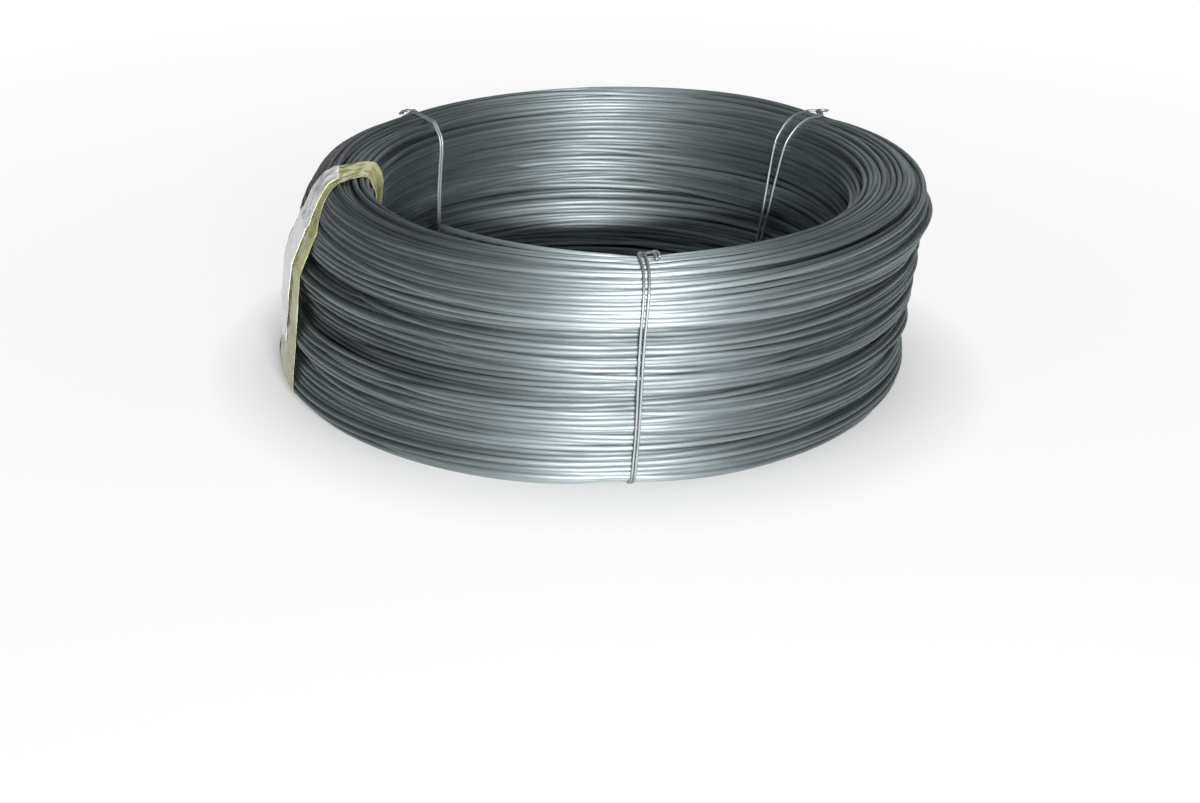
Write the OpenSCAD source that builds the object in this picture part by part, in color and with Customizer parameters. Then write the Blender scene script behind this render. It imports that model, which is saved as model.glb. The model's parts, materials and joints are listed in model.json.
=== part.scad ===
// A coil of steel wire rod that lies on its end, held by three wire ties and a band of packing tape.
// The origin is on the coil's axis at the face it rests on, and +Z is up along the axis.

/* [Coil] */
// Diameter of the bore through the coil
bore_d = 508; // [420:1:640]
// Thickness of the bundle of turns, from the bore to the outside
bundle_w = 91; // [50:1:110]
// Height of the coil
coil_h = 228; // [150:1:360]
// Radius of the bundle's two upper edges
top_round = 35; // [14:1:36]
// Radius of the bundle's two lower edges
bottom_round = 22; // [14:1:30]
// Number of hollows between the layers on the outer wall
hollow_count = 3; // [1:1:6]
// Depth of those hollows
hollow_depth = 7.5; // [2:0.5:9]

/* [Wire] */
// Diameter of the wire
wire_d = 5.5; // [5:0.5:8]
// Overlap of neighbouring turns, as they bed into each other
turn_overlap = 0.2; // [0.1:0.05:0.4]

/* [Ties] */
// Diameter of the tie wire
tie_d = 2.8; // [2:0.1:4]
// Distance between the middles of a tie's two strands
strand_pitch = 4.4; // [4.2:0.1:7]
// Directions of the front, back left and back right ties, in degrees from +X
tie_front_angle = 275; // [262:0.5:288]
tie_back_left_angle = 140; // [120:0.5:150]
tie_back_right_angle = 42.5; // [30:0.5:60]
// How far a tie stands out of its seat into the bore
tie_stand = 0.9; // [0.3:0.1:1.2]
// Diameter of the twisted knot
knot_d = 4.6; // [4.2:0.1:6]
// Length of the twisted knot
knot_l = 26; // [12:1:40]

/* [Tape and label] */
// Width of the tape on the outer wall
tape_w = 72; // [30:1:90]
// Thickness of the tape with its folds
tape_t = 0.4; // [0.2:0.1:0.8]
// Direction of the tape, in degrees from +X
tape_angle = 193.5; // [185:0.5:215]
// Width of the label
label_w = 56; // [40:1:90]
// Thickness of the label
label_t = 0.4; // [0.2:0.1:0.8]
// Direction of the label, in degrees from +X
label_angle = 191; // [180:0.5:205]
// Height of the label's lower edge
label_low = 62; // [40:1:100]
// How far in from the outside the label reaches over the upper edge
label_fold = 30; // [4:1:40]

/* [Clearances] */
// Gap between a tie and the coil
tie_gap = 0.3; // [0.2:0.05:0.6]
// Gap between the tape and the coil, and between the label and the tape
tape_gap = 0.4; // [0.3:0.05:0.6]
// Height of ties and tape above the face that the coil rests on
floor_gap = 0.3; // [0.2:0.05:0.6]

/* [Hidden] */
$fn = 96;

bore_r = bore_d / 2;
coil_r = bore_r + bundle_w;
wire_r = wire_d / 2;
tie_r = tie_d / 2;
// A turn's section is drawn with eight flats, so that the lowest turns rest on theirs
turn_sides = 8;
half_flat = wire_r * tan(180 / turn_sides);
// A rounded edge leaves a little of the flat end between the two of them
end_flat = 4;
top_r = min(top_round, (bundle_w - end_flat) / 2);
bottom_r = min(bottom_round, (bundle_w - end_flat) / 2);
// How far cuts run past the solid that they cut
past = 2;

// The line that the middles of the outer turns follow, from the bore's foot around the outside to its mouth
lane_in = bore_r + wire_r;
lane_out = coil_r - wire_r;
lane_low = wire_r;
lane_high = coil_h - wire_r;
lane_top_r = top_r - wire_r;
lane_bottom_r = bottom_r - wire_r;
foot_run = lane_out - lane_in - 2 * lane_bottom_r;
wall_run = lane_high - lane_low - lane_top_r - lane_bottom_r;
end_run = lane_out - lane_in - 2 * lane_top_r;
bottom_arc = lane_bottom_r * PI / 2;
top_arc = lane_top_r * PI / 2;

// Lengths along that line at which each stretch begins
foot_from = bottom_arc;
foot_corner_from = foot_from + foot_run;
wall_from = foot_corner_from + bottom_arc;
end_corner_from = wall_from + wall_run;
end_from = end_corner_from + top_arc;
mouth_from = end_from + end_run;
lane_length = mouth_from + top_arc;

turn_count = ceil(lane_length / (wire_d - turn_overlap));
turn_step = lane_length / turn_count;

// Depth of the hollows at a share t of the way up the outer wall
function hollow(t) = hollow_depth * (1 - abs(cos(180 * hollow_count * t)));

// A point on a rounded corner with middle c and radius r, at angle a
function on_corner(c, r, a) = [c[0] + r * cos(a), c[1] + r * sin(a)];

// The point of the line at length s
function lane(s) =
    s < foot_from ? on_corner([lane_in + lane_bottom_r, lane_low + lane_bottom_r], lane_bottom_r,
                              180 + 90 * s / bottom_arc)
    : s < foot_corner_from ? [lane_in + lane_bottom_r + s - foot_from, lane_low]
    : s < wall_from ? on_corner([lane_out - lane_bottom_r, lane_low + lane_bottom_r], lane_bottom_r,
                                270 + 90 * (s - foot_corner_from) / bottom_arc)
    : s < end_corner_from ? [lane_out - hollow((s - wall_from) / wall_run),
                             lane_low + lane_bottom_r + s - wall_from]
    : s < end_from ? on_corner([lane_out - lane_top_r, lane_high - lane_top_r], lane_top_r,
                               90 * (s - end_corner_from) / top_arc)
    : s < mouth_from ? [lane_out - lane_top_r - (s - end_from), lane_high]
    : on_corner([lane_in + lane_top_r, lane_high - lane_top_r], lane_top_r,
                90 + 90 * (s - mouth_from) / top_arc);

// The line's two ends lie in the bore wall, so the turns start one step in from each
turns = [for (i = [1 : turn_count - 1]) lane(i * turn_step)];
wall_foot = [bore_r, lane_low + lane_bottom_r];
wall_mouth = [bore_r, lane_high - lane_top_r];

// Section of one turn, with its lowest and highest flats level
module turn_section() {
    polygon([
        [half_flat, -wire_r], [wire_r, -half_flat], [wire_r, half_flat], [half_flat, wire_r],
        [-half_flat, wire_r], [-wire_r, half_flat], [-wire_r, -half_flat], [-half_flat, -wire_r]
    ]);
}

// Half section of the coil: the outer turns and the packed turns inside them, smooth at the bore
module coil_section() {
    polygon(concat([wall_foot], turns, [wall_mouth]));
    for (middle = turns) translate(middle) turn_section();
}

// Where a tie's strand runs, and the slots in the bore wall and the foot that take it
tie_in = bore_r - tie_stand + tie_r;
tie_out = coil_r + tie_gap + tie_r;
tie_low = floor_gap + tie_r;
tie_high = coil_h + tie_gap + tie_r;
seat_w = strand_pitch + tie_d + 2 * tie_gap;
seat_in = tie_in + tie_r + tie_gap;
seat_low = tie_low + tie_r + tie_gap;
// A strand bends tighter than the edge under it, so that it passes clear
bend_top_share = 0.7;
bend_bottom_share = 0.5;
bend_top = top_r * bend_top_share;
bend_bottom = bottom_r * bend_bottom_share;

module tie_seat(direction) {
    rotate(direction) translate([bore_r - past, -seat_w / 2, -past]) {
        cube([seat_in - bore_r + past, seat_w, coil_h + 2 * past]);
        cube([bundle_w + 2 * past, seat_w, seat_low + past]);
    }
}

// The part of a turn that a width w takes up at the outer wall, in degrees
function span(w) = w / coil_r * 180 / PI;

// A shape in the half section turned over a width w about a direction
module turned(direction, w) {
    rotate(direction - span(w) / 2) rotate_extrude(angle = span(w)) children();
}

tape_low = floor_gap + tape_t;
// The tape bends a little tighter than the lower edges under it
tape_bend_share = 0.8;
tape_bend = bottom_r * tape_bend_share;

module tape_seat() {
    turned(tape_angle, tape_w + 2 * tie_gap)
        translate([bore_r - past, -past]) square([bundle_w + 2 * past, tape_low + tape_gap + past]);
}

module wire_coil() {
    color([0.52, 0.56, 0.57]) difference() {
        rotate_extrude() coil_section();
        tie_seat(tie_front_angle);
        tie_seat(tie_back_left_angle);
        tie_seat(tie_back_right_angle);
        tape_seat();
    }
}

module strand_bend(middle, r, from) {
    translate([middle[0], 0, middle[1]]) rotate([90, 0, 0]) rotate(from)
        rotate_extrude(angle = 90) translate([r, 0]) circle(d = tie_d);
}

module strand_rise(x, from, to) {
    translate([x, 0, from]) cylinder(d = tie_d, h = to - from);
}

module strand_cross(z, from, to) {
    translate([from, 0, z]) rotate([0, 90, 0]) cylinder(d = tie_d, h = to - from);
}

// One strand around the bundle
module strand() {
    strand_rise(tie_in, tie_low + bend_bottom, tie_high - bend_top);
    strand_rise(tie_out, tie_low + bend_bottom, tie_high - bend_top);
    strand_cross(tie_low, tie_in + bend_bottom, tie_out - bend_bottom);
    strand_cross(tie_high, tie_in + bend_top, tie_out - bend_top);
    strand_bend([tie_out - bend_top, tie_high - bend_top], bend_top, 0);
    strand_bend([tie_in + bend_top, tie_high - bend_top], bend_top, 90);
    strand_bend([tie_in + bend_bottom, tie_low + bend_bottom], bend_bottom, 180);
    strand_bend([tie_out - bend_bottom, tie_low + bend_bottom], bend_bottom, 270);
}

// A tie: two strands and the knot that twists their ends together, across the strands at radius knot_at
module tie(direction, knot_at) {
    color([0.42, 0.45, 0.45]) rotate(direction) {
        for (side = [-1, 1]) translate([0, side * strand_pitch / 2, 0]) strand();
        translate([knot_at, -strand_pitch / 2 - tie_r, tie_high + knot_d / 2 - tie_r])
            rotate([-90, 0, 0]) cylinder(d = knot_d, h = knot_l);
    }
}

knot_inner = tie_in + bend_top;
knot_outer = tie_out - bend_top;

module tie_wire_front() { tie(tie_front_angle, knot_inner); }
module tie_wire_back_left() { tie(tie_back_left_angle, knot_outer); }
module tie_wire_back_right() { tie(tie_back_right_angle, knot_outer); }

// The bundle's outline, grown by g on its sides and its upper end, with its foot at height low
module outline(g, low) {
    upper = top_r + g;
    left = bore_r - g;
    right = coil_r + g;
    high = coil_h + g;
    translate([left, low + tape_bend]) square([right - left, high - low - tape_bend - upper]);
    translate([left + tape_bend, low]) square([right - left - 2 * tape_bend, high - low - upper]);
    translate([left + upper, high - 2 * upper]) square([right - left - 2 * upper, 2 * upper]);
    for (x = [left + tape_bend, right - tape_bend]) translate([x, low + tape_bend]) circle(r = tape_bend);
    for (x = [left + upper, right - upper]) translate([x, high - upper]) circle(r = upper);
}

module tape_band() {
    color([0.62, 0.63, 0.40]) turned(tape_angle, tape_w) difference() {
        outline(tape_gap + tape_t, floor_gap);
        outline(tape_gap, tape_low);
    }
}

label_gap = 2 * tape_gap + tape_t;

module paper_label() {
    color([0.92, 0.92, 0.90]) turned(label_angle, label_w) intersection() {
        difference() {
            outline(label_gap + label_t, floor_gap);
            outline(label_gap, floor_gap);
        }
        translate([coil_r - label_fold, label_low]) square([label_fold + 2 * past, coil_h]);
    }
}

wire_coil();
tie_wire_front();
tie_wire_back_left();
tie_wire_back_right();
tape_band();
paper_label();
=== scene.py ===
import json
import math

import bpy
import numpy as np
from mathutils import Matrix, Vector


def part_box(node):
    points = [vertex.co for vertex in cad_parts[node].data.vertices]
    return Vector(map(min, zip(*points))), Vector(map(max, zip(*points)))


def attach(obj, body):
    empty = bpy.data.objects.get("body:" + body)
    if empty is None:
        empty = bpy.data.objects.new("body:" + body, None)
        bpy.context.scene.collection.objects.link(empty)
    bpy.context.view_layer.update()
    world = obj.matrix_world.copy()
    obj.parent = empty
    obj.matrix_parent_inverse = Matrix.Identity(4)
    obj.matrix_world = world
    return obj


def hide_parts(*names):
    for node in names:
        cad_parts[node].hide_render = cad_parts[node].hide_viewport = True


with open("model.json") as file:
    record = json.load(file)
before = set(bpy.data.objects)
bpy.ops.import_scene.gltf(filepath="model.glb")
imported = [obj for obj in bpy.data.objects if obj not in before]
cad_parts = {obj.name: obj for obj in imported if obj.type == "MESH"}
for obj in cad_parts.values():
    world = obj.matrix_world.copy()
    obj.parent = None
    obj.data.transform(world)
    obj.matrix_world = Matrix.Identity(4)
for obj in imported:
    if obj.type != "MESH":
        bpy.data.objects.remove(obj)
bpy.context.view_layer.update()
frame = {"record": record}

# Sizes are in millimetres, and meshes are made in metres
MM = 0.001
BODY = "root"
UP = np.array([0.0, 0.0, 1.0])
RIGHT = np.array([1.0, 0.0, 0.0])
TINY = 1e-6
SEED = 7
rng = np.random.default_rng(SEED)

# The coil, from the frame
mounts = {mount["name"]: mount for mount in frame["record"]["mounts"]}
coil_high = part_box("wire_coil")[1]
BORE_R = mounts["bore"]["dims"]["r_mm"]
COIL_H = coil_high.z / MM
WIDTH = coil_high.x / MM - BORE_R

# The bundle's section: edge radii, and hollows in its outer wall and in the bore that rise and fall
# around the coil
TOP_R = 35.0
BOTTOM_R = 22.0
HOLLOWS = 3
HOLLOW_DEPTH = 8.0
INNER_HOLLOW_DEPTH = 5.0
HOLLOW_SWAY = 9.0
HOLLOW_PHASE = 1.5
INNER_HOLLOW_TURN = 2.0
MIDDLE = np.array([WIDTH / 2, COIL_H / 2])

# Stretches of the section's plain outline, and lengths along it from the middle of the foot
FOOT_HALF = WIDTH / 2 - BOTTOM_R
BOTTOM_ARC = BOTTOM_R * np.pi / 2
WALL = COIL_H - TOP_R - BOTTOM_R
TOP_ARC = TOP_R * np.pi / 2
END_HALF = WIDTH / 2 - TOP_R
WALL_FROM = FOOT_HALF + BOTTOM_ARC
WALL_TO = WALL_FROM + WALL
OUTLINE_LENGTH = 2 * (COIL_H + WIDTH) - (4 - np.pi) * (TOP_R + BOTTOM_R)

# How the coil lies: its upper end leans to +X and rises there, and its outer wall has slumped at the
# left, by a distance inward at each height
LEAN = 0.12
TILT = 0.022
SLUMP_HEIGHTS = [0.0, 60.0, 117.0, 154.0, 178.0, 202.0, 228.0]
SLUMP_INWARD = [0.0, 0.0, -2.5, -4.0, 4.0, 22.0, 28.0]
SLUMP_ANGLE = 197.0
SLUMP_REACH = 40.0

# The wire and how it is wound, from its cut end on the inner upper edge, which stands up a little. A share
# of the last turn is cut off.
WIRE_D = 5.5
WIRE_R = WIRE_D / 2
START_ANGLE = 230.5
LEAD_IN = [(22.0, 231.0), (13.0, 219.0), (6.0, 207.0)]
START_LIFT = 6.0
START_LIFT_TURNS = 0.3
LAYER_STEP = 5.35
TURN_STEP = 6.0
STEPS = 112
WIRE_SIDES = 8
END_CUT = 0.37

# How loosely it lies: the drift of single turns, and the drift that groups of turns share
SINGLE_DRIFT = 4.5
SINGLE_KNOTS = 3
GROUP_DRIFT = 7.0
GROUP_WAVE = 50.0
GROUP_MODES = 14
# The most waves around the coil that a drift or a valley has
MOST_WAVES = 3

# Valleys between bundles of turns, wide and narrow ones: spacing along the outline, half width and depth
VALLEYS = [(31.0, 10.0, 11.0), (14.0, 5.0, 6.0)]
# How far a valley strays from its even place, as a share of the spacing, and its strength around the coil:
# the mean and two waves
VALLEY_SHIFT = 0.25
VALLEY_MEAN = 0.5
VALLEY_WAVE = 0.6
VALLEY_SECOND_WAVE = 0.3
# Splits between layers of bundles on the outer wall. They are deepest at the coil's left and right, and less
# deep between by twice a share.
SPLIT_HEIGHTS = [64.0, 98.0, 131.0, 165.0]
SPLIT_HALF = 6.0
SPLIT_DEPTH = 14.0
SPLIT_SWAY = 3.0
SPLIT_EASE = 0.25

# Tone of the wire: each turn's own, a drift along it, and painted shade on deep turns that comes in between
# two depths
TURN_TONE = 0.6
DRIFT_TONE = 0.4
TONE_KNOTS = 2
TONE_DRIFT = 0.5
PAINTED_SHADE = 2.3
PAINTED_SHADE_FROM = 6.0
PAINTED_SHADE_TO = 14.0

# Settling of the turns: its rounds, how often and how far turns look for near ones, and the shares of
# overlap, drift and bend that a round takes away
ROUNDS = 160
PAIR_ROUNDS = 8
PAIR_REACH = 1.5 * WIRE_D
PUSH = 0.55
PULL = 0.01
KEEP_ORDER = 0.8
STIFF = 0.5
STIFF_PASSES = 8
LAST_ROUNDS = 20
LAST_PASSES = 5

# Meshes of the turns: how deep a turn still shows, the most turns in a piece, and margins on the map
SEEN_DEPTH = 1.5 * WIRE_D
PIECE_TURNS = 100
STRIP_MARGIN = 0.1
CAP_SPACING = 3

# Ties: directions in degrees, wire, and how far they press the turns in
TIE_FRONT = 275.0
TIE_BACK_LEFT = 141.5
TIE_BACK_RIGHT = 41.2
TIE_R = 1.4
TIE_SIDES = 8
TIE_SQUEEZE = 3.2
TIE_REACH = 6.0

# Lines around the bundle
HULL_SIDES = 16
TIE_SPACING = 2.0
TIE_SMOOTHING = 2
TIE_LEAD = 12.0
TIE_TOUCH = 0.1
STRAND_STEP = 2 * TIE_SPACING
NEARLY_UPRIGHT = 0.9
# Half of the bight where the tie wire turns back: length and sideways as shares of half the spread, then
# outward
HALF_BIGHT = [(0.55, -0.95, 1.0), (0.0, -0.55, 2.2), (-0.4, 0.0, 2.6)]
# Each tie starts at its knot and goes over the upper end, outward or inward. It slants by its height and
# skews by its distance from the bore.
# Its ends are given by length past the knot, sideways and outward from the bundle.
TIES = [
    {
        "node": "tie_wire_front",
        "direction": TIE_FRONT,
        "over": "outward",
        "knot": (21.0, 224.0),
        "slant": 0.08,
        "skew": 0.0,
        "spread": 6.5,
        "narrow_from": 0.5,
        "wander": 0.8,
        "waves": 3.0,
        "phase": 0.1,
        "left_end": [
            (-7.0, -1.2, 0.4), (-1.0, -0.4, 0.7), (5.0, 4.0, 3.2),
            (8.0, 9.5, 4.4), (13.0, 12.5, 3.4), (21.0, 13.0, 1.2),
        ],
        "right_end": [
            (-7.0, 1.7, 0.4), (-1.0, 1.6, 0.7), (4.0, 7.0, 3.0),
            (5.0, 12.5, 4.6), (9.0, 16.0, 3.6), (15.0, 16.5, 1.4),
        ],
    },
    {
        "node": "tie_wire_back_left",
        "direction": TIE_BACK_LEFT,
        "over": "inward",
        "knot": (56.0, 228.0),
        "slant": -0.11,
        "skew": -0.2,
        "spread": 3.6,
        "narrow_from": 0.5,
        "wander": 0.9,
        "waves": 4.0,
        "phase": 0.4,
        "left_end": [
            (-7.0, -1.2, 0.4), (-1.0, -0.4, 0.9), (3.0, 4.0, 3.4),
            (2.0, 9.0, 5.0), (-4.0, 12.0, 4.6), (-11.0, 10.0, 3.0),
        ],
        "right_end": [
            (-7.0, 1.7, 0.4), (-1.0, 1.4, 0.9), (4.0, 6.0, 4.2),
            (4.0, 12.0, 5.4), (-2.0, 16.0, 5.0), (-9.0, 16.0, 3.4),
        ],
    },
    {
        "node": "tie_wire_back_right",
        "direction": TIE_BACK_RIGHT,
        "over": "inward",
        "knot": (66.0, 225.0),
        "slant": 0.05,
        "skew": 0.12,
        "spread": 25.0,
        "narrow_from": 0.55,
        "wander": 1.0,
        "waves": 3.5,
        "phase": 0.7,
        "left_end": [
            (-7.0, -1.2, 0.4), (-1.0, -0.4, 0.9), (3.0, -4.0, 3.4),
            (3.0, -8.0, 5.2), (-2.0, -10.0, 5.4), (-6.0, -7.0, 4.6),
        ],
        "right_end": [
            (-7.0, 1.7, 0.4), (-1.0, 1.4, 0.9), (4.0, -2.0, 4.4),
            (5.0, -7.0, 6.0), (1.0, -11.0, 6.4), (-4.0, -11.0, 6.0),
        ],
    },
]

# Tape and label: directions in degrees, and widths at the outer wall
TAPE_ANGLE = 198.0
TAPE_TOP_ANGLE = 178.0
TAPE_W = 72.0
TAPE_T = 0.25
TAPE_STAND = 0.5
TAPE_SQUEEZE = 1.0
LABEL_ANGLE = 194.0
LABEL_TOP_ANGLE = 180.5
LABEL_W = 56.0
LABEL_T = 0.2
LABEL_STAND = 2.8
LABEL_LOW = 62.0
LABEL_OVER = 12.0
SKEW_FROM = 20.0
TAPE_ROWS = 220
TAPE_COLUMNS = 27
TAPE_WRINKLE = 0.7
TAPE_CREASE_SIZE = 26.0
TAPE_CREASES = 7
LABEL_ROWS = 64
LABEL_COLUMNS = 23
LABEL_WRINKLE = 1.6
LABEL_CREASE_SIZE = 34.0
LABEL_CREASES = 6
FLOOR_GAP = 0.2
# How far the two edges stray, as a share of half the width, and the length and phase of each edge's waves
TAPE_EDGE = 0.06
TAPE_EDGE_WAVES = [(37.0, 1.0), (53.0, 0.0)]
LABEL_EDGE = 0.05
LABEL_EDGE_WAVES = [(41.0, 0.0), (29.0, 2.0)]
EDGE_POWER = 3
# Creases: the spread of their directions in radians, and the least and most of their fineness and bend
CREASE_TURN = 0.8
CREASE_FINENESS = (0.6, 1.8)
CREASE_BEND = (0.5, 1.5)

# Looks: colours from dark to light by shade, roughness, and the usual ranges of the noises that drive them
# The darkest stop is reached by the painted shade of deep turns
WIRE_COLOURS = [
    (0.0, (0.05, 0.057, 0.06)),
    (0.35, (0.16, 0.183, 0.191)),
    (0.675, (0.28, 0.318, 0.328)),
    (1.0, (0.40, 0.45, 0.462)),
]
TIE_COLOURS = [(0.0, (0.30, 0.33, 0.33)), (1.0, (0.52, 0.55, 0.55))]
TAPE_COLOURS = [(0.0, (0.30, 0.31, 0.10)), (0.5, (0.47, 0.47, 0.17)), (1.0, (0.62, 0.62, 0.34))]
LABEL_COLOURS = [(0.34, (0.46, 0.48, 0.49)), (0.44, (0.87, 0.88, 0.88)), (0.70, (0.94, 0.94, 0.93))]
ONE_NOISE = (0.3, 0.7)
TWO_NOISES = (0.6, 1.4)
CLOUD = (0.35, 0.65)
CLOUD_AND_GRAIN = (0.45, 0.95)
GRAIN_SHARE = 0.4
WIRE_SHADES = (0.48, 0.87)
TONE_AND_SHADE_SHARE = 0.2
WIRE_ROUGHNESS = (0.68, 0.56)
TIE_ROUGHNESS = (0.62, 0.5)
TAPE_ROUGHNESS = (0.16, 0.34)
TAPE_ALPHA = (0.72, 0.92)
LABEL_ROUGHNESS = (0.6, 0.35)

# The camera, fitted to the photograph
CAMERA_BACK = 2300.0
CAMERA_HEIGHT = 964.3
CAMERA_PITCH = 0.4164
CAMERA_YAW = 0.0004
CAMERA_ROLL = 0.0216
FOCAL_PIXELS = 2221.2
PICTURE_PIXELS = 1200.0
SENSOR = 36.0

# Light: one lamp a little below the camera, weak ones above and behind, and a floor whose glow fades under
# the coil, which paints shade on the floor near and under it
KEY_PLACE = (0.3, -2.3, 0.82)
KEY_AIM = (0.0, -0.1, 0.15)
KEY_SIZE = (0.5, 0.05)
KEY_POWER = 110.0
TOP_PLACE = (0.1, 0.2, 2.6)
TOP_AIM = (0.0, 0.0, 0.2)
TOP_SIZE = (1.6, 1.2)
TOP_POWER = 12.0
BACK_PLACE = (0.5, 2.4, 1.1)
BACK_AIM = (0.0, 0.0, 0.2)
BACK_SIZE = (1.6, 0.8)
BACK_POWER = 5.0
WORLD_LIGHT = 0.12
WORLD_COLOUR = (0.95, 0.98, 1.0, 1.0)
FLOOR_HALF = 40.0
FLOOR_COLOUR = (0.6, 0.6, 0.6, 1.0)
# The glow's share by distance from the coil's axis in metres: none under the coil and less near it, a
# painted shade there
GLOW_REACH = 1.6
GLOW_AND_PAINTED_SHADE = [(0.28, 0.0), (0.44, 0.85), (GLOW_REACH, 1.0)]


# Winding

def edge_cut(x, edge_r):
    """How much lower than flat a rounded edge leaves a turn at x."""
    reach = edge_r - WIRE_R
    in_edge = max(0.0, reach - min(x - WIRE_R, WIDTH - WIRE_R - x))
    return reach - math.sqrt(reach**2 - in_edge**2)


def winding():
    """Place of each turn in the section, wound down and up in layers from the bore outward."""
    turns = list(LEAD_IN)
    layers = int((WIDTH - WIRE_D) / LAYER_STEP) + 1
    for layer, x in enumerate(np.linspace(WIRE_R, WIDTH - WIRE_R, layers)):
        low = WIRE_R + edge_cut(x, BOTTOM_R)
        high = COIL_H - WIRE_R - edge_cut(x, TOP_R)
        heights = np.linspace(low, high, round((high - low) / TURN_STEP) + 1)
        if layer % 2 == 0:
            heights = heights[::-1]
        turns += [(x, z) for z in heights]
    return np.array(turns)


def between(a, b, c, d, t):
    """A smooth curve from b to c, with a before them and d after."""
    square = 2 * a - 5 * b + 4 * c - d
    cube = 3 * b - a - 3 * c + d
    return b + ((c - a) * t + square * t**2 + cube * t**3) / 2


def smooth_noise(count, per_turn, amount, width):
    """Random values along the wire, joined smoothly between knots."""
    at = np.arange(count) * per_turn / STEPS
    knot = at.astype(int)
    t = (at - knot)[:, None]
    knots = rng.normal(0.0, amount, (knot[-1] + 4, width))
    return between(*(knots[knot + i] for i in range(4)), t)


def group_drift(places, angles):
    """A drift that neighbouring turns share, so that they run in bundles."""
    drift = np.zeros_like(places)
    for _ in range(GROUP_MODES):
        wave = rng.normal(0.0, 2 * np.pi / GROUP_WAVE, 2)
        around = rng.integers(1, MOST_WAVES + 1) * rng.choice([-1, 1])
        phase = rng.uniform(0.0, 2 * np.pi)
        direction = rng.normal(0.0, 1.0, 2)
        drift += np.sin(places @ wave + around * angles + phase)[:, None] * direction
    return drift * GROUP_DRIFT / math.sqrt(GROUP_MODES)


def away_from(degrees, direction):
    """Signed angle from a direction, in degrees."""
    return (degrees - direction + 180) % 360 - 180


def squeeze_at(degrees):
    """How far ties and tape press the bundle in."""
    squeeze = np.zeros_like(degrees)
    for direction in (TIE_FRONT, TIE_BACK_LEFT, TIE_BACK_RIGHT):
        squeeze += TIE_SQUEEZE * np.exp(-(away_from(degrees, direction) / TIE_REACH) ** 2)
    half_tape = math.degrees(TAPE_W / 2 / (BORE_R + WIDTH))
    squeeze += TAPE_SQUEEZE * np.exp(-(away_from(degrees, TAPE_ANGLE) / half_tape) ** 4)
    return squeeze


def outline_length(places):
    """Length up the outer wall, over the upper end and down the bore wall to each place in the section."""
    x, z = places.T
    return np.where(x > MIDDLE[0], z + WIDTH - x, 2 * COIL_H + WIDTH - x - z)


def valley_depth(places, angles):
    """How far the turns between two bundles have sunk: each valley comes and goes around the coil."""
    length = outline_length(places)
    depth = np.zeros(len(places))
    for spacing, half_width, deepest in VALLEYS:
        for middle in np.arange(spacing / 2, 2 * COIL_H + WIDTH, spacing):
            middle = middle + rng.uniform(-VALLEY_SHIFT, VALLEY_SHIFT) * spacing
            waves = rng.integers(1, MOST_WAVES + 1)
            phase, second_phase = rng.uniform(0.0, 2 * np.pi, 2)
            strength = VALLEY_MEAN + VALLEY_WAVE * np.sin(waves * angles + phase)
            strength += VALLEY_SECOND_WAVE * np.sin((waves + 2) * angles + second_phase)
            across = np.clip(1 - np.abs(length - middle) / half_width, 0, 1)
            depth = np.maximum(depth, deepest * np.clip(strength, 0, 1) * across)
    return depth


def split_at(heights, angles):
    """How deep the outer wall is split at a height."""
    depth = np.zeros_like(heights)
    for height in SPLIT_HEIGHTS:
        away = np.abs(heights - height - SPLIT_SWAY * np.sin(angles + height))
        depth += np.clip(2 - 2 * away / SPLIT_HALF, 0, 1)
    return SPLIT_DEPTH * (1 - SPLIT_EASE + SPLIT_EASE * np.cos(2 * angles)) * depth


def hollow_at(heights, angles):
    """Share of the hollows' depth: they rise and fall a little around the coil."""
    lift = HOLLOW_SWAY * (np.sin(angles) + np.sin(2 * angles + HOLLOW_PHASE) / 2)
    share = np.clip((heights - lift - BOTTOM_R) / WALL, 0, 1)
    return 1 - np.abs(np.cos(np.pi * HOLLOWS * share))


def slump_at(heights, angles):
    """How far the outer wall has slumped, inward at its upper edge and outward below."""
    around = np.exp(-(away_from(np.degrees(angles), SLUMP_ANGLE) / SLUMP_REACH) ** 2)
    return around * np.interp(heights, SLUMP_HEIGHTS, SLUMP_INWARD)


def outline_distance(places, angles, squeeze, relief=1.0):
    """Distance of each middle outside the bundle's outline, negative inside, and the way out."""
    half = MIDDLE - WIRE_R
    offset = places - MIDDLE
    across = offset[:, 0] / half[0]
    heights = places[:, 1]
    outer = relief * (HOLLOW_DEPTH * hollow_at(heights, angles) + split_at(heights, angles))
    inner = relief * INNER_HOLLOW_DEPTH * hollow_at(heights, angles + INNER_HOLLOW_TURN)
    offset[:, 0] += outer * np.clip(across, 0, 1) - inner * np.clip(-across, 0, 1)
    offset[:, 0] += slump_at(heights, angles) * np.clip((1 + across) / 2, 0, 1)
    edge_r = np.where(offset[:, 1] > 0, TOP_R, BOTTOM_R) - WIRE_R
    over = np.abs(offset) - half + (edge_r + squeeze)[:, None]
    outside = np.maximum(over, 0)
    reach = np.linalg.norm(outside, axis=1)
    distance = reach + np.minimum(over.max(axis=1), 0) - edge_r
    outward = outside / np.maximum(reach, TINY)[:, None] * np.sign(offset)
    return distance, outward


def near_pairs(places, turns):
    """Pairs of points of different turns that lie near each other in the same plane through the axis."""
    grid = places[: turns * STEPS].reshape(turns, STEPS, 2).astype(np.float32)
    first = []
    second = []
    for step in range(STEPS):
        x, z = grid[:, step].T
        square = (x[:, None] - x) ** 2 + (z[:, None] - z) ** 2
        one, other = np.nonzero(np.triu(square < PAIR_REACH**2, 1))
        first.append(one * STEPS + step)
        second.append(other * STEPS + step)
    return np.concatenate(first), np.concatenate(second)


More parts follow.
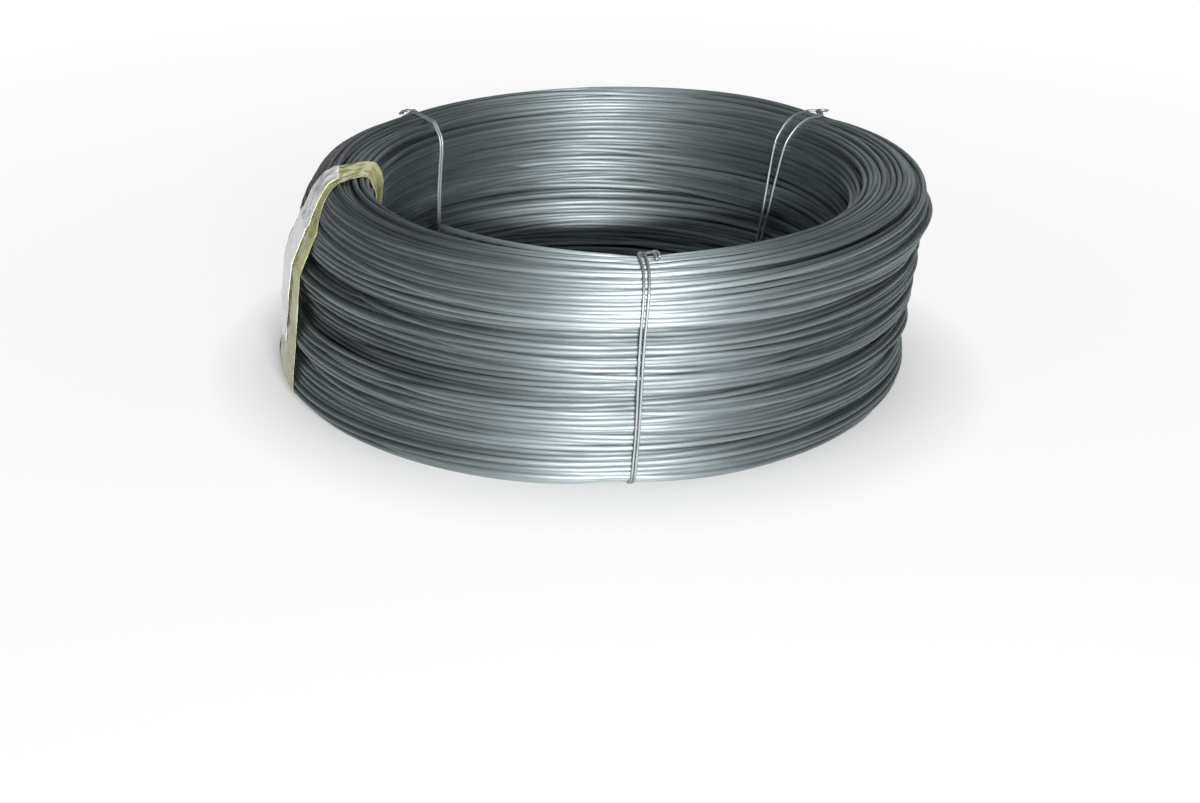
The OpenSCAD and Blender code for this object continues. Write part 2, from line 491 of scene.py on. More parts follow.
def settle(target, angles, squeeze, turns):
    """Moves overlapping turns apart, earlier ones inward, within the outline, and keeps the wire smooth."""
    places = target.copy()
    count = len(places)
    for number in range(ROUNDS):
        if number % PAIR_ROUNDS == 0:
            first, second = near_pairs(places, turns)
        gap = places[first] - places[second]
        gap[:, 0] -= KEEP_ORDER
        distance = np.linalg.norm(gap, axis=1) + TINY
        push = gap * (np.maximum(WIRE_D - distance, 0) / distance / 2)[:, None]
        for axis in range(2):
            forward = np.bincount(first, push[:, axis], count)
            backward = np.bincount(second, push[:, axis], count)
            places[:, axis] += PUSH * (forward - backward)
        places += PULL * (target - places)
        for _ in range(LAST_PASSES if number >= ROUNDS - LAST_ROUNDS else STIFF_PASSES):
            places[1:-1] += STIFF * ((places[:-2] + places[2:]) / 2 - places[1:-1])
        distance, outward = outline_distance(places, angles, squeeze)
        places -= np.maximum(distance, 0)[:, None] * outward
    return places


def wind_wire():
    """The wire's middle line in the section, with the angle of each of its points in radians."""
    turns = winding()
    count = len(turns) * STEPS + 1
    along = np.arange(count) / STEPS
    low = np.minimum(along.astype(int), len(turns) - 1)
    high = np.minimum(low + 1, len(turns) - 1)
    t = (along - low)[:, None]
    t = t * t * (3 - 2 * t)
    places = turns[low] * (1 - t) + turns[high] * t
    angles = math.radians(START_ANGLE) + 2 * np.pi * along
    drift = smooth_noise(count, SINGLE_KNOTS, SINGLE_DRIFT, 2) + group_drift(places, angles)
    target = places + drift * np.clip(along / START_LIFT_TURNS - 1, 0, 1)[:, None]
    squeeze = squeeze_at(np.degrees(angles)) + valley_depth(places, angles)
    squeeze -= START_LIFT * np.clip(1 - along / START_LIFT_TURNS, 0, 1)
    return settle(target, angles, squeeze, len(turns)), angles, squeeze, len(turns)


# Meshes

def in_space(places, angles, sideways=0.0):
    """Points of the half section in space, at their angles and moved sideways, on the coil as it lies."""
    outward = np.stack([np.cos(angles), np.sin(angles), np.zeros_like(angles)], 1)
    along = np.stack([-np.sin(angles), np.cos(angles), np.zeros_like(angles)], 1)
    points = outward * (BORE_R + places[:, :1]) + along * np.reshape(sideways, (-1, 1))
    points[:, 2] = places[:, 1] * (1 + TILT * points[:, 0] / (BORE_R + WIDTH))
    points[:, 0] += LEAN * (points[:, 2] - COIL_H / 2)
    return points


def ring_faces(rings, sides, first_point=0):
    """Quads between rings of points."""
    ring = np.arange(rings - 1)[:, None] * sides + first_point
    side = np.arange(sides)[None, :]
    after = (side + 1) % sides
    quads = np.stack([ring + side, ring + after, ring + sides + after, ring + sides + side], -1)
    return quads.reshape(-1, 4)


def add_piece(name, points, faces, material, nodes):
    """A mesh piece that rides on the body and stands for CAD nodes."""
    mesh = bpy.data.meshes.new(name)
    mesh.from_pydata((points * MM).tolist(), [], faces)
    mesh.materials.append(material)
    mesh.shade_smooth()
    piece = bpy.data.objects.new(name, mesh)
    bpy.context.collection.objects.link(piece)
    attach(piece, BODY)
    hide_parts(*nodes)
    return piece


# Wire turns

def visible_runs(places, angles, squeeze, turns):
    """Ranges of turns that come near the surface, none longer than a piece may be."""
    distance = outline_distance(places, angles, squeeze)[0][: turns * STEPS]
    near = distance.reshape(turns, STEPS).max(axis=1) > -SEEN_DEPTH
    runs = []
    for turn in np.flatnonzero(near):
        if runs and runs[-1][1] == turn and turn - runs[-1][0] < PIECE_TURNS:
            runs[-1][1] = turn + 1
        else:
            runs.append([turn, turn + 1])
    return runs


def share_out(runs):
    """Runs grouped into pieces of a limited number of turns."""
    pieces = [[]]
    for run in runs:
        held = sum(end - start for start, end in pieces[-1])
        if held + run[1] - run[0] > PIECE_TURNS:
            pieces.append([])
        pieces[-1].append(run)
    return pieces


def wire_piece(name, runs, wire, material):
    """Several runs of the wire as one mesh of tubes, with a strip of the map for each turn."""
    side_angle = 2 * np.pi * np.arange(WIRE_SIDES) / WIRE_SIDES
    strips = sum(end - start for start, end in runs)
    points = []
    faces = []
    places = []
    tones_and_shade = []
    corners = []
    caps = []
    strip = 0
    count = 0
    for start, end in runs:
        first = start * STEPS
        last = min(end * STEPS, len(wire["points"]) - 1)
        line = slice(first, last + 1)
        rings = last - first + 1
        across = wire["outward"][line][:, None] * np.cos(side_angle)[None, :, None]
        upright = UP * np.sin(-side_angle)[None, :, None]
        points.append((wire["points"][line][:, None] + WIRE_R * (across + upright)).reshape(-1, 3))
        faces.append(ring_faces(rings, WIRE_SIDES, count))
        straight = np.zeros((rings, WIRE_SIDES, 3))
        straight[:, :, 0] = wire["along"][line][:, None]
        straight[:, :, 1] = WIRE_R * np.cos(side_angle)
        straight[:, :, 2] = WIRE_R * np.sin(side_angle)
        places.append(straight.reshape(-1, 3))
        tones_and_shade.append(np.repeat(wire["tone_and_shade"][line], WIRE_SIDES))
        corners.append(strip_corners(rings - 1, strip, strips))
        caps.append(list(range(count, count + WIRE_SIDES))[::-1])
        strip += end - start
        count += rings * WIRE_SIDES
        caps.append(list(range(count - WIRE_SIDES, count)))
    tubes = np.concatenate(faces).tolist()
    polygons = tubes + caps
    corners += [cap_corners(side_angle, strips, number) for number in range(len(caps))]
    piece = add_piece(name, np.concatenate(points), polygons, material, ["wire_coil"])
    for cap in range(len(tubes), len(polygons)):
        piece.data.polygons[cap].use_smooth = False
    add_wire_data(piece.data, np.concatenate(places), np.concatenate(tones_and_shade), np.concatenate(corners))


def strip_corners(segments, strip, strips):
    """Map corners of the quads of a run: one strip for each turn, with a margin between strips."""
    margin = STRIP_MARGIN
    segment = np.arange(segments)[:, None]
    side = np.arange(WIRE_SIDES)[None, :]
    left = np.repeat((segment % STEPS) / STEPS, WIRE_SIDES, axis=1)
    right = left + 1 / STEPS
    low = (strip + segment // STEPS + margin + (1 - 2 * margin) * side / WIRE_SIDES) / strips
    high = low + (1 - 2 * margin) / WIRE_SIDES / strips
    corners = np.stack([left, low, left, high, right, high, right, low], -1)
    return corners.reshape(-1, 2)


def cap_corners(side_angle, strips, number):
    """Map corners of a closed end, side by side in the margin under the first strip."""
    radius = STRIP_MARGIN / 2 / strips
    middle = np.array([radius * (1 + CAP_SPACING * number), radius])
    return middle + radius * np.stack([np.cos(side_angle), np.sin(side_angle)], 1)


def add_wire_data(mesh, places, tones_and_shade, corners):
    """Places on the straightened wire, tones with painted shade on deep turns, and map corners, for the
    material.
    """
    place = mesh.attributes.new("place", "FLOAT_VECTOR", "POINT")
    place.data.foreach_set("vector", (places * MM).astype(np.float32).ravel())
    tone_and_shade = mesh.attributes.new("tone_and_shade", "FLOAT", "POINT")
    tone_and_shade.data.foreach_set("value", tones_and_shade.astype(np.float32))
    uv_map = mesh.uv_layers.new(name="OFBake")
    uv_map.data.foreach_set("uv", corners.astype(np.float32).ravel())


def add_wire(places, angles, squeeze, turns, material):
    """All visible turns of the wire."""
    end = len(places) - round(END_CUT * STEPS)
    points = in_space(places, angles)
    per_turn_tone = rng.uniform(-1.0, 1.0, turns + 1)
    tone_and_shade = TURN_TONE * per_turn_tone[np.arange(len(places)) // STEPS]
    tone_and_shade += DRIFT_TONE * smooth_noise(len(places), TONE_KNOTS, TONE_DRIFT, 1)[:, 0]
    depth = -outline_distance(places, angles, np.zeros(len(places)), relief=0.0)[0]
    # Painted shade: turns that lie deep under the bundle's plain outline get a darker tone
    tone_and_shade -= PAINTED_SHADE * np.clip((depth - PAINTED_SHADE_FROM) / (PAINTED_SHADE_TO - PAINTED_SHADE_FROM), 0, 1)
    wire = {
        "points": points[:end],
        "outward": np.stack([np.cos(angles), np.sin(angles), np.zeros_like(angles)], 1),
        "along": np.concatenate([[0.0], np.cumsum(np.linalg.norm(np.diff(points, axis=0), axis=1))]),
        "tone_and_shade": tone_and_shade,
    }
    for number, runs in enumerate(share_out(visible_runs(places, angles, squeeze, turns)), 1):
        wire_piece(f"wire_turns_{number}", runs, wire, material)


# Lines around the bundle

def section_at(places, turns, degrees):
    """Middles of all turns in the half plane at one direction."""
    step = (degrees - START_ANGLE) / 360 % 1 * STEPS
    share = step - int(step)
    low = np.arange(turns) * STEPS + int(step)
    return places[low] * (1 - share) + places[low + 1] * share


def half_hull(points):
    """One chain of the convex hull of sorted points."""
    chain = []
    for x, z in points:
        while len(chain) > 1:
            (x0, z0), (x1, z1) = chain[-2:]
            if (x1 - x0) * (z - z0) - (z1 - z0) * (x - x0) > 0:
                break
            chain.pop()
        chain.append((x, z))
    return chain[:-1]


def hull_at(places, turns, degrees, stand):
    """Convex outline of the bundle at a direction, a distance out from its turns, counterclockwise."""
    around = 2 * np.pi * np.arange(HULL_SIDES) / HULL_SIDES
    circle = (WIRE_R + stand) * np.stack([np.cos(around), np.sin(around)], 1)
    cloud = (section_at(places, turns, degrees)[:, None] + circle).reshape(-1, 2)
    cloud = cloud[np.lexsort((cloud[:, 1], cloud[:, 0]))].tolist()
    return np.array(half_hull(cloud) + half_hull(cloud[::-1]))


def even_line(line, spacing):
    """A closed line with its points spaced evenly."""
    closed = np.concatenate([line, line[:1]])
    length = np.concatenate([[0.0], np.cumsum(np.linalg.norm(np.diff(closed, axis=0), axis=1))])
    at = np.linspace(0.0, length[-1], round(length[-1] / spacing), endpoint=False)
    return np.stack([np.interp(at, length, closed[:, axis]) for axis in range(2)], 1)


def smooth_closed(line, passes):
    """A closed line with its bends eased."""
    for _ in range(passes):
        line = (np.roll(line, 1, axis=0) + 2 * line + np.roll(line, -1, axis=0)) / 4
    return line


def smooth_path(knots, spacing):
    """A smooth curve through given knots."""
    knots = np.array(knots, float)
    padded = np.concatenate([2 * knots[:1] - knots[1:2], knots, 2 * knots[-1:] - knots[-2:-1]])
    curve = []
    for a, b, c, d in zip(padded, padded[1:], padded[2:], padded[3:]):
        steps = max(2, round(np.linalg.norm(c - b) / spacing))
        t = np.linspace(0.0, 1.0, steps, endpoint=False)[:, None]
        curve.append(between(a, b, c, d, t))
    return np.concatenate([*curve, knots[-1:]])


def sweep(points, radius, sides):
    """A tube with closed ends along a path: its points and faces."""
    ahead = np.gradient(points, axis=0)
    ahead /= np.linalg.norm(ahead, axis=1)[:, None]
    around = 2 * np.pi * np.arange(sides) / sides
    beside = UP if abs(ahead[0] @ UP) < NEARLY_UPRIGHT else RIGHT
    normal = np.cross(ahead[0], beside)
    rings = []
    for point, forward in zip(points, ahead):
        normal = normal - forward * (normal @ forward)
        normal /= np.linalg.norm(normal)
        side = np.cross(forward, normal)
        rings.append(point + radius * (np.outer(np.cos(around), normal) + np.outer(np.sin(around), side)))
    faces = ring_faces(len(points), sides).tolist()
    last = (len(points) - 1) * sides
    faces.append(list(range(sides))[::-1])
    faces.append([last + side for side in range(sides)])
    return np.concatenate(rings), faces


# Ties

def tie_path(line, direction, tie):
    """The tie wire's path: one end, round the bundle, the bight, round again and the other end."""
    total = len(line) * TIE_SPACING
    half_gap = tie["spread"] / 2
    tight = TIE_R + TIE_TOUCH
    run = np.arange(TIE_LEAD, total - TIE_LEAD, STRAND_STEP)
    share = run / total
    narrow = tight + (half_gap - tight) * np.clip(1 - share / tie["narrow_from"], 0, 1) ** 2
    wander = tie["wander"] * np.sin(2 * np.pi * (share * tie["waves"] + tie["phase"]))
    strands = [np.stack([run, side * narrow + wander, np.zeros_like(run)], 1) for side in (-1, 1)]
    bight = [(half_gap * along, half_gap * aside, outward) for along, aside, outward in HALF_BIGHT]
    bight += [(along, -aside, outward) for along, aside, outward in bight[-2::-1]]
    ends = [np.array(tie[key], float) + [total, 0.0, 0.0] for key in ("left_end", "right_end")]
    route = np.concatenate([ends[0][::-1], strands[0][::-1], bight, strands[1], ends[1]])
    route = smooth_path(route, TIE_SPACING)
    return on_line(line, direction, route, tie)


def on_line(line, direction, route, tie):
    """Points given by length along a closed line, sideways and outward, in space."""
    ahead = np.roll(line, -1, axis=0) - np.roll(line, 1, axis=0)
    ahead /= np.linalg.norm(ahead, axis=1)[:, None]
    outward = np.stack([ahead[:, 1], -ahead[:, 0]], 1)
    if np.sum((line - MIDDLE) * outward) < 0:
        outward = -outward
    at = route[:, 0] / TIE_SPACING
    index = np.arange(len(line))
    section = [
        np.interp(at, index, line[:, axis], period=len(line))
        + route[:, 2] * np.interp(at, index, outward[:, axis], period=len(line))
        for axis in range(2)
    ]
    section[1] = np.maximum(section[1], TIE_R + FLOOR_GAP)
    angles = np.full(len(route), math.radians(direction))
    sideways = route[:, 1] + tie["slant"] * (COIL_H - section[1]) + tie["skew"] * section[0]
    return in_space(np.stack(section, 1), angles, sideways)


def add_tie(places, turns, tie, material):
    """A tie of doubled wire around the bundle, its ends through the bight."""
    line = even_line(hull_at(places, turns, tie["direction"], TIE_R), TIE_SPACING)
    line = smooth_closed(line, TIE_SMOOTHING)
    if tie["over"] == "outward":
        line = line[::-1]
    start = np.argmin(np.linalg.norm(line - np.array(tie["knot"]), axis=1))
    line = np.roll(line, -start, axis=0)
    points, faces = sweep(tie_path(line, tie["direction"], tie), TIE_R, TIE_SIDES)
    name = tie["node"]
    return add_piece(f"{name}_strands", points, faces, material, [name])


# Tape and label

def corner_point(x, z, radius, start, length):
    """A point on a rounded edge about (x, z), by length from a start angle."""
    angle = start + length / radius
    return (x + radius * math.cos(angle), z + radius * math.sin(angle))


def outline_point(length):
    """A point of the bundle's plain outline, by length from the middle of its foot around the outer side."""
    quarter = np.pi / 2
    stretches = [
        (FOOT_HALF, lambda s: (WIDTH / 2 + s, 0.0)),
        (BOTTOM_ARC, lambda s: corner_point(WIDTH - BOTTOM_R, BOTTOM_R, BOTTOM_R, -quarter, s)),
        (WALL, lambda s: (WIDTH, BOTTOM_R + s)),
        (TOP_ARC, lambda s: corner_point(WIDTH - TOP_R, COIL_H - TOP_R, TOP_R, 0.0, s)),
        (2 * END_HALF, lambda s: (WIDTH - TOP_R - s, COIL_H)),
        (TOP_ARC, lambda s: corner_point(TOP_R, COIL_H - TOP_R, TOP_R, quarter, s)),
        (WALL, lambda s: (0.0, COIL_H - TOP_R - s)),
        (BOTTOM_ARC, lambda s: corner_point(BOTTOM_R, BOTTOM_R, BOTTOM_R, 2 * quarter, s)),
        (FOOT_HALF, lambda s: (BOTTOM_R + s, 0.0)),
    ]
    for stretch, place in stretches:
        if length <= stretch:
            return place(length)
        length -= stretch
    return (WIDTH / 2, 0.0)


def hull_reach(hull, ways):
    """How far the hull reaches from the section's middle in each direction."""
    edge = np.roll(hull, -1, axis=0) - hull
    outward = np.stack([edge[:, 1], -edge[:, 0]], 1)
    offset = np.sum(outward * (hull - MIDDLE), axis=1)
    facing = ways @ outward.T
    reach = np.where(facing > TINY, offset / np.maximum(facing, TINY), np.inf)
    return reach.min(axis=1)


def creases(lengths, widths, size, count):
    """Crumpled relief: ridges at random angles, as a share from -1 to 1."""
    relief = np.zeros((len(lengths), len(widths)))
    for _ in range(count):
        turn = rng.normal(0.0, CREASE_TURN)
        wave = rng.uniform(*CREASE_FINENESS) * 2 * np.pi / size
        phase = rng.uniform(0.0, 2 * np.pi)
        bend = rng.uniform(*CREASE_BEND)
        path = math.cos(turn) * lengths[:, None] + math.sin(turn) * widths[None, :]
        drift = bend * np.sin(widths[None, :] / size + lengths[:, None] / size / 2 + phase)
        relief += 1 - 2 * np.abs(np.sin(wave * path / 2 + drift))
    return relief / count


def edge_waves(lengths, amount, waves):
    """How far a band's two edges stray along its length, as a share of half its width."""
    return amount * np.stack([np.sin(lengths / wave + phase) for wave, phase in waves], 1)


def skewed(lengths, wall_angle, top_angle):
    """Direction of a band along the outline: it skews over the outer upper edge and back under the foot."""
    skew_start = WALL_TO + SKEW_FROM
    skew_end = WALL_TO + TOP_ARC + 2 * END_HALF + TOP_ARC / 2
    stations = [0.0, FOOT_HALF, skew_start, skew_end, OUTLINE_LENGTH - FOOT_HALF, OUTLINE_LENGTH]
    middle = (wall_angle + top_angle) / 2
    return np.interp(lengths, stations, [middle, wall_angle, wall_angle, top_angle, top_angle, middle])


def wrap(places, turns, directions, width, lengths, stand, relief, edge_drift):
    """A grid of points on the bundle, over a width about directions given along its outline."""
    half = math.degrees(width / 2 / (BORE_R + WIDTH))
    ideal = np.array([outline_point(length) for length in lengths]) - MIDDLE
    ways = ideal / np.linalg.norm(ideal, axis=1)[:, None]
    sampled = np.arange(min(directions) - half - 1, max(directions) + half + 2)
    reaches = np.array([hull_reach(hull_at(places, turns, degrees, 0.0), ways) for degrees in sampled])
    grid = []
    for column, share in enumerate(np.linspace(-1.0, 1.0, relief.shape[1])):
        drift = edge_drift[:, 0] if share < 0 else edge_drift[:, 1]
        degrees = directions + half * share + half * abs(share) ** EDGE_POWER * drift
        at = degrees - sampled[0]
        low = at.astype(int)
        rows = np.arange(len(lengths))
        reach = reaches[low, rows] * (1 - at + low) + reaches[low + 1, rows] * (at - low)
        section = MIDDLE + ways * (reach + stand + relief[:, column])[:, None]
        section[:, 1] = np.maximum(section[:, 1], FLOOR_GAP + TAPE_T)
        grid.append(in_space(section, np.radians(degrees)))
    return np.stack(grid, 1)


def add_sheet(name, grid, closed, thickness, material):
    """A thin shell of the grid's points, closed along its length or not."""
    rows, columns = grid.shape[:2]
    row = np.arange(rows if closed else rows - 1)[:, None]
    column = np.arange(columns - 1)[None, :]
    after = (row + 1) % rows
    here = row * columns + column
    ahead = after * columns + column
    faces = np.stack([ahead, ahead + 1, here + 1, here], -1).reshape(-1, 4).tolist()
    piece = add_piece(name, grid.reshape(-1, 3), faces, material, [name.rsplit("_", 1)[0]])
    shell = piece.modifiers.new("thickness", "SOLIDIFY")
    shell.thickness = thickness * MM
    shell.offset = -1.0
    return piece


def add_tape(places, turns, material):
    """The band of tape around the bundle, wrinkled, with uneven edges."""
    lengths = np.linspace(0.0, OUTLINE_LENGTH, TAPE_ROWS, endpoint=False)
    widths = np.linspace(-TAPE_W / 2, TAPE_W / 2, TAPE_COLUMNS)
    relief = TAPE_WRINKLE * creases(lengths, widths, TAPE_CREASE_SIZE, TAPE_CREASES)
    edge_drift = edge_waves(lengths, TAPE_EDGE, TAPE_EDGE_WAVES)
    directions = skewed(lengths, TAPE_ANGLE, TAPE_TOP_ANGLE)
    grid = wrap(places, turns, directions, TAPE_W, lengths, TAPE_STAND, relief, edge_drift)
    add_sheet("tape_band_film", grid, True, TAPE_T, material)


def add_label(places, turns, material):
    """The blank label on the tape, crumpled and folded over the upper edge."""
    first = WALL_FROM + LABEL_LOW - BOTTOM_R
    last = WALL_TO + TOP_ARC + LABEL_OVER
    lengths = np.linspace(first, last, LABEL_ROWS)
    widths = np.linspace(-LABEL_W / 2, LABEL_W / 2, LABEL_COLUMNS)
    relief = LABEL_WRINKLE * creases(lengths, widths, LABEL_CREASE_SIZE, LABEL_CREASES)
    edge_drift = edge_waves(lengths, LABEL_EDGE, LABEL_EDGE_WAVES)
    directions = skewed(lengths, LABEL_ANGLE, LABEL_TOP_ANGLE)
    grid = wrap(places, turns, directions, LABEL_W, lengths, LABEL_STAND, relief, edge_drift)
    add_sheet("paper_label_sheet", grid, False, LABEL_T, material)


# Materials

def new_material(name):
    """A material with its nodes and its main shader."""
    material = bpy.data.materials.new(name)
    material.use_nodes = True
    return material, material.node_tree, material.node_tree.nodes["Principled BSDF"]


def set_inputs(node, values):
    """Sets constant values on a node's own sockets."""
    for key, value in values.items():
        node.inputs[key].default_value = value


def add_node(tree, kind, values=None, **settings):
    """A node with its settings and the constant values of its sockets."""
    node = tree.nodes.new(kind)
    for key, value in settings.items():
        setattr(node, key, value)
    set_inputs(node, values or {})
    return node


def noise(tree, coordinate, scale, stretch=(1.0, 1.0, 1.0), detail=3.0):
    """Noise on a coordinate that is stretched along its axes."""
    mapping = add_node(tree, "ShaderNodeMapping", {"Scale": stretch})
    tree.links.new(coordinate, mapping.inputs["Vector"])
    texture = add_node(tree, "ShaderNodeTexNoise", {"Scale": scale, "Detail": detail})
    tree.links.new(mapping.outputs["Vector"], texture.inputs["Vector"])
    return texture.outputs["Fac"]


def math_node(tree, operation, first, second):
    """The result of a sum or product of two values, each a number or a socket."""
    node = add_node(tree, "ShaderNodeMath", operation=operation)
    for socket, value in zip(node.inputs, (first, second)):
        if isinstance(value, float):
            socket.default_value = value
        else:
            tree.links.new(value, socket)
    return node.outputs["Value"]


def spread(tree, value, old_range, new_range):
    """A value taken from one range to another."""
    node = add_node(tree, "ShaderNodeMapRange")
    set_inputs(node, dict(zip(("From Min", "From Max", "To Min", "To Max"), (*old_range, *new_range))))
    tree.links.new(value, node.inputs["Value"])
    return node.outputs["Result"]


def ramp(tree, value, stops):
    """Colours by value."""
    node = add_node(tree, "ShaderNodeValToRGB")
    elements = node.color_ramp.elements
    while len(elements) < len(stops):
        elements.new(1.0)
    for element, (position, colour) in zip(elements, stops):
        element.position = position
        element.color = (*colour, 1.0)
    tree.links.new(value, node.inputs["Fac"])
    return node.outputs["Color"]


def bump(tree, shader, height, strength, distance):
    """Fine relief in a shader."""
    node = add_node(tree, "ShaderNodeBump", {"Strength": strength, "Distance": distance})
    tree.links.new(height, node.inputs["Height"])
    tree.links.new(node.outputs["Normal"], shader.inputs["Normal"])


def wire_material():
    """Drawn steel: streaks along the wire, duller patches, a tone of its own for each turn, and painted
    shade on deep turns.
    """
    material, tree, shader = new_material("drawn_steel")
    place = add_node(tree, "ShaderNodeAttribute", attribute_name="place").outputs["Vector"]
    tone_and_shade = add_node(tree, "ShaderNodeAttribute", attribute_name="tone_and_shade").outputs["Fac"]
    streaks = noise(tree, place, scale=900.0, stretch=(0.03, 1.0, 1.0))
    patches = noise(tree, place, scale=14.0, stretch=(1.0, 8.0, 8.0))
    shade = math_node(tree, "ADD", streaks, patches)
    shade = spread(tree, shade, TWO_NOISES, WIRE_SHADES)
    # The tone attribute carries each turn's own tone and the painted shade of deep turns
    shade = math_node(tree, "ADD", shade, math_node(tree, "MULTIPLY", tone_and_shade, TONE_AND_SHADE_SHARE))
    tree.links.new(ramp(tree, shade, WIRE_COLOURS), shader.inputs["Base Color"])
    tree.links.new(spread(tree, streaks, ONE_NOISE, WIRE_ROUGHNESS), shader.inputs["Roughness"])
    # Drawing marks along the wire spread its shine across it
    tangent = add_node(tree, "ShaderNodeTangent", direction_type="UV_MAP", uv_map="OFBake")
    tree.links.new(tangent.outputs["Tangent"], shader.inputs["Tangent"])
    set_inputs(shader, {"Metallic": 1.0, "Anisotropic": 0.6, "Anisotropic Rotation": 0.25})
    bump(tree, shader, streaks, strength=0.2, distance=0.0002)
    return material


def tie_material():
    """Annealed tie wire: grey and satin, with faint scale."""
    material, tree, shader = new_material("tie_steel")
    place = add_node(tree, "ShaderNodeTexCoord").outputs["Object"]
    mill_scale = noise(tree, place, scale=700.0)
    patches = noise(tree, place, scale=60.0)
    shade = math_node(tree, "ADD", mill_scale, patches)
    shade = spread(tree, shade, TWO_NOISES, (0.0, 1.0))
    tree.links.new(ramp(tree, shade, TIE_COLOURS), shader.inputs["Base Color"])
    tree.links.new(spread(tree, mill_scale, ONE_NOISE, TIE_ROUGHNESS), shader.inputs["Roughness"])
    set_inputs(shader, {"Metallic": 1.0})
    bump(tree, shader, mill_scale, strength=0.15, distance=0.0002)
    return material


def tape_material():
    """Yellowish clear packing film: glossy, cloudy where it is creased and where the glue holds."""
    material, tree, shader = new_material("packing_film")
    place = add_node(tree, "ShaderNodeTexCoord").outputs["Object"]
    cloud = noise(tree, place, scale=45.0, detail=5.0)
    grain = noise(tree, place, scale=420.0, stretch=(1.0, 1.0, 0.25))
    shade = math_node(tree, "ADD", cloud, math_node(tree, "MULTIPLY", grain, GRAIN_SHARE))
    shade = spread(tree, shade, CLOUD_AND_GRAIN, (0.0, 1.0))
    tree.links.new(ramp(tree, shade, TAPE_COLOURS), shader.inputs["Base Color"])
    tree.links.new(spread(tree, grain, ONE_NOISE, TAPE_ROUGHNESS), shader.inputs["Roughness"])
    tree.links.new(spread(tree, cloud, CLOUD, TAPE_ALPHA), shader.inputs["Alpha"])
    set_inputs(shader, {"Coat Weight": 0.4, "Coat Roughness": 0.08})
    bump(tree, shader, grain, strength=0.25, distance=0.0003)
    return material


def label_material():
    """White label paper under clear film, with fine creases and a little grime."""
    material, tree, shader = new_material("label_paper")
    place = add_node(tree, "ShaderNodeTexCoord").outputs["Object"]
    fibre = noise(tree, place, scale=900.0)
    grime = noise(tree, place, scale=60.0, stretch=(1.0, 1.0, 0.25), detail=6.0)
    tree.links.new(ramp(tree, grime, LABEL_COLOURS), shader.inputs["Base Color"])
    tree.links.new(spread(tree, grime, ONE_NOISE, LABEL_ROUGHNESS), shader.inputs["Roughness"])
    set_inputs(shader, {"Coat Weight": 1.0, "Coat Roughness": 0.06})
    bump(tree, shader, fibre, strength=0.15, distance=0.0002)
    return material


# Stage, light and camera

def floor_material():
    """Matt paint that also glows away from the coil, for the camera, reflections and what shows through; its
    glow fades near the coil as painted shade.
    """
    material, tree, shader = new_material("floor_paint")
    set_inputs(shader, {"Base Color": FLOOR_COLOUR, "Roughness": 1.0, "Specular IOR Level": 0.0})
    path = add_node(tree, "ShaderNodeLightPath")
    seen = math_node(tree, "ADD", path.outputs["Is Camera Ray"], path.outputs["Is Glossy Ray"])
    seen = math_node(tree, "ADD", seen, path.outputs["Is Transmission Ray"])
    place = add_node(tree, "ShaderNodeTexCoord").outputs["Object"]
    away = add_node(tree, "ShaderNodeVectorMath", operation="LENGTH")
    tree.links.new(place, away.inputs[0])
    distance = math_node(tree, "DIVIDE", away.outputs["Value"], GLOW_REACH)
    # Painted shade: the glow fades to none near and under the coil, also in what the wire reflects
    share = ramp(tree, distance, [(metres / GLOW_REACH, (level,) * 3) for metres, level in GLOW_AND_PAINTED_SHADE])
    share = math_node(tree, "MULTIPLY", seen, share)
    glow = add_node(tree, "ShaderNodeEmission", {"Color": (1.0, 1.0, 1.0, 1.0), "Strength": 1.0})
    mix = add_node(tree, "ShaderNodeMixShader")
    tree.links.new(share, mix.inputs["Fac"])
    tree.links.new(shader.outputs["BSDF"], mix.inputs[1])
    tree.links.new(glow.outputs["Emission"], mix.inputs[2])
    tree.links.new(mix.outputs["Shader"], tree.nodes["Material Output"].inputs["Surface"])
    return material


def add_floor():
    """A pale floor that shows as nearly white, with the object's shadow, real and also painted where the
    glow fades near the coil.
    """
    mesh = bpy.data.meshes.new("floor")
    corners = [(x * FLOOR_HALF, y * FLOOR_HALF, 0.0) for x, y in ((-1, -1), (1, -1), (1, 1), (-1, 1))]
    mesh.from_pydata(corners, [], [(0, 1, 2, 3)])
    floor = bpy.data.objects.new("floor", mesh)
    bpy.context.collection.objects.link(floor)
    mesh.materials.append(floor_material())


def add_light(name, place, aim, size, power):
    """A rectangular soft light."""
    light = bpy.data.lights.new(name, "AREA")
    light.shape = "RECTANGLE"
    light.size, light.size_y = size
    light.energy = power
    lamp = bpy.data.objects.new(name, light)
    bpy.context.collection.objects.link(lamp)
    away = np.array(place) - np.array(aim)
    away = away / np.linalg.norm(away)
    right = np.cross(UP, away)
    right = right / np.linalg.norm(right)
    lamp.matrix_world = axes_matrix(right, np.cross(away, right), away, np.array(place))


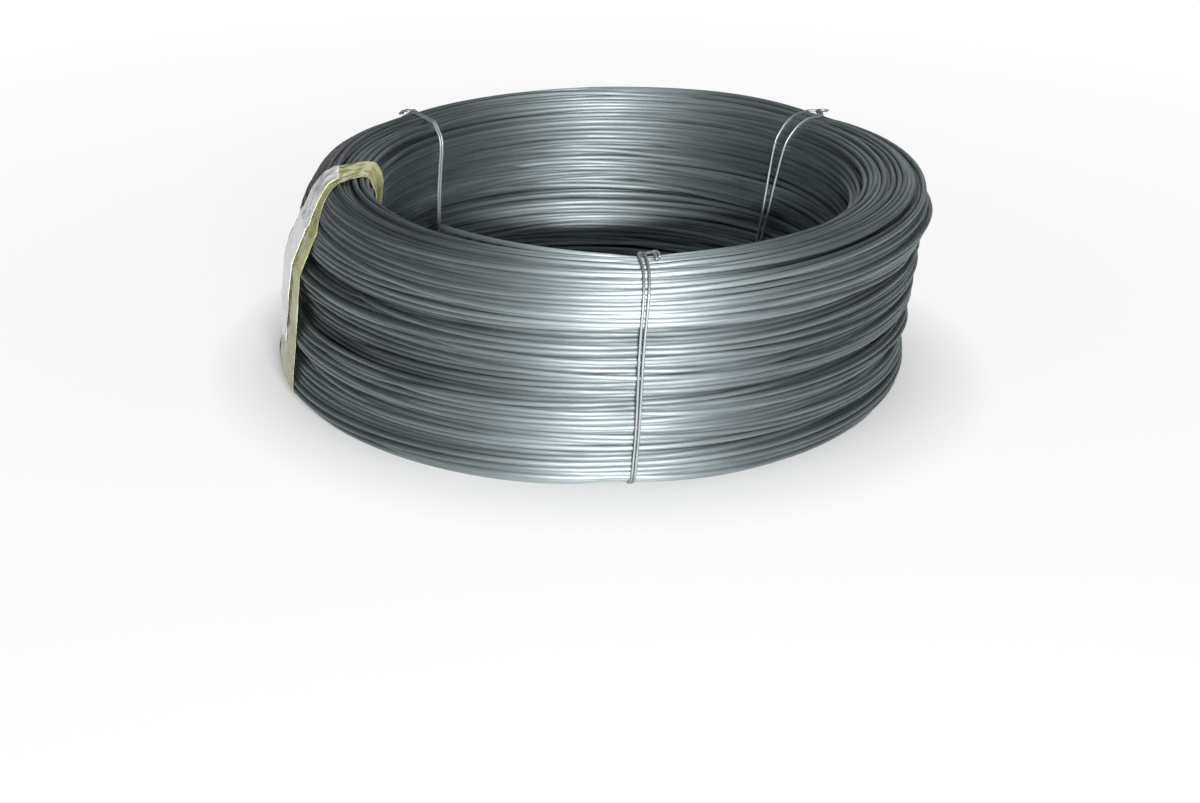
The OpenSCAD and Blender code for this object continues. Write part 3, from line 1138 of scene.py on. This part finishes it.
def axes_matrix(right, upward, back, place):
    """A matrix from three axes and a place."""
    matrix = Matrix.Identity(4)
    for column, vector in enumerate((right, upward, back, place)):
        for row in range(3):
            matrix[row][column] = vector[row]
    return matrix


def add_lights():
    """The three lights and a faint light from all around."""
    add_light("key_light", KEY_PLACE, KEY_AIM, KEY_SIZE, KEY_POWER)
    add_light("top_light", TOP_PLACE, TOP_AIM, TOP_SIZE, TOP_POWER)
    add_light("back_light", BACK_PLACE, BACK_AIM, BACK_SIZE, BACK_POWER)
    world = bpy.data.worlds.new("studio")
    world.use_nodes = True
    background = world.node_tree.nodes["Background"]
    set_inputs(background, {"Color": WORLD_COLOUR, "Strength": WORLD_LIGHT})
    bpy.context.scene.world = world


def add_camera():
    """The camera at the photograph's place and angle."""
    level = np.array([math.sin(CAMERA_YAW), math.cos(CAMERA_YAW), 0.0])
    forward = math.cos(CAMERA_PITCH) * level - math.sin(CAMERA_PITCH) * UP
    right = np.array([math.cos(CAMERA_YAW), -math.sin(CAMERA_YAW), 0.0])
    upward = np.cross(right, forward)
    rolled_right = math.cos(CAMERA_ROLL) * right + math.sin(CAMERA_ROLL) * upward
    rolled_up = -math.sin(CAMERA_ROLL) * right + math.cos(CAMERA_ROLL) * upward
    data = bpy.data.cameras.new("camera")
    data.sensor_width = SENSOR
    data.sensor_fit = "HORIZONTAL"
    data.lens = SENSOR * FOCAL_PIXELS / PICTURE_PIXELS
    camera = bpy.data.objects.new("camera", data)
    bpy.context.collection.objects.link(camera)
    place = np.array([0.0, -CAMERA_BACK, CAMERA_HEIGHT]) * MM
    camera.matrix_world = axes_matrix(rolled_right, rolled_up, -forward, place)
    bpy.context.scene.camera = camera


bpy.context.scene.view_settings.view_transform = "Standard"
add_camera()
add_floor()
add_lights()
places, angles, squeeze, turns = wind_wire()
add_wire(places, angles, squeeze, turns, wire_material())
tie_steel = tie_material()
for tie in TIES:
    add_tie(places, turns, tie, tie_steel)
add_tape(places, turns, tape_material())
add_label(places, turns, label_material())
